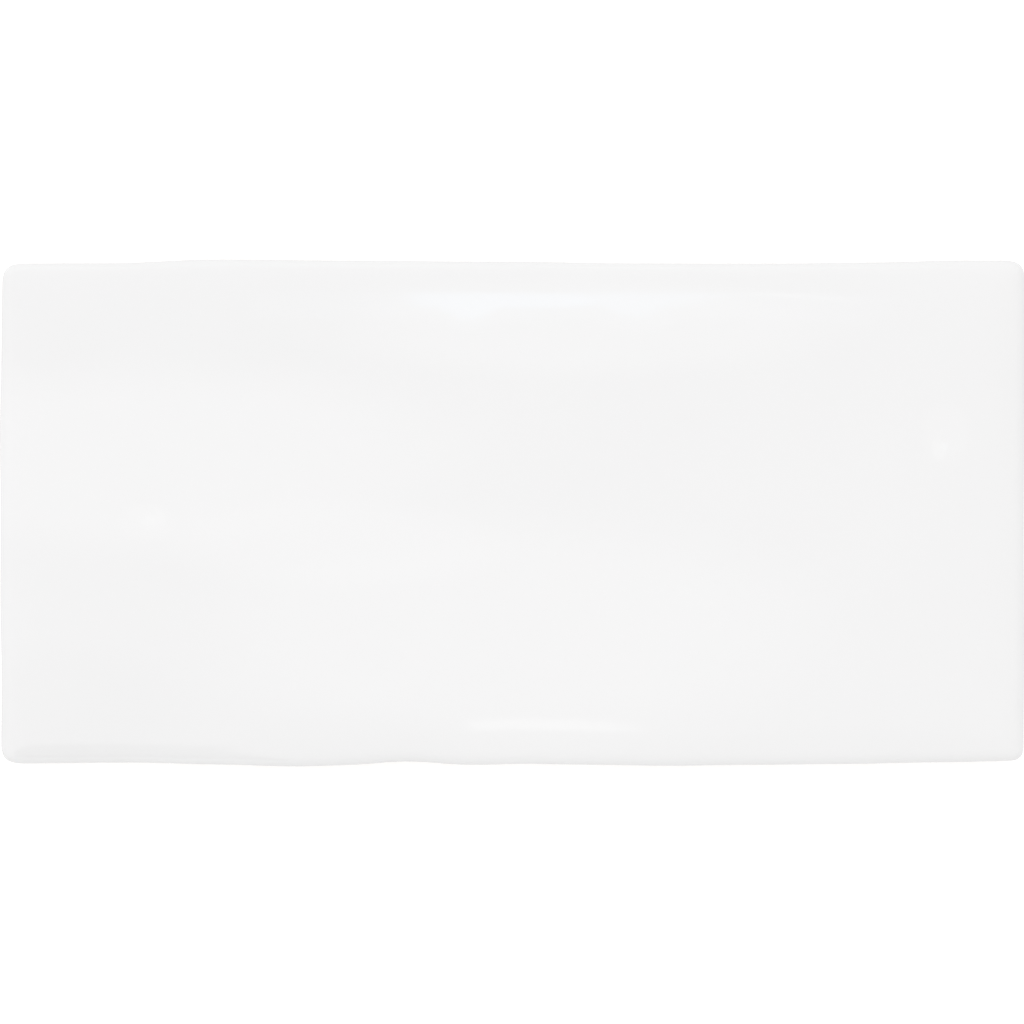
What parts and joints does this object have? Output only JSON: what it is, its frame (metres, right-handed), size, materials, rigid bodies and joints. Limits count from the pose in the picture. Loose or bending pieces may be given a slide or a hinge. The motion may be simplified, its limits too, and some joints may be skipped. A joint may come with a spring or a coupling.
{
  "type": "ceramic wall tile",
  "caption": "Rectangular glazed ceramic wall tile with wavy edges, soft corners, a cushioned glossy white face and a keyed back.",
  "frame": {"origin": "centred under the tile, on the plane of the back that beds on the wall", "axes": "+X along the tile's length, +Y across its width, +Z out of the glazed face"},
  "size_m": [0.15, 0.0742, 0.0087],
  "materials": {
    "glaze": "gloss"
  },
  "bodies": {
    "root": {"tile": "glaze"}
  },
  "joints": []
}
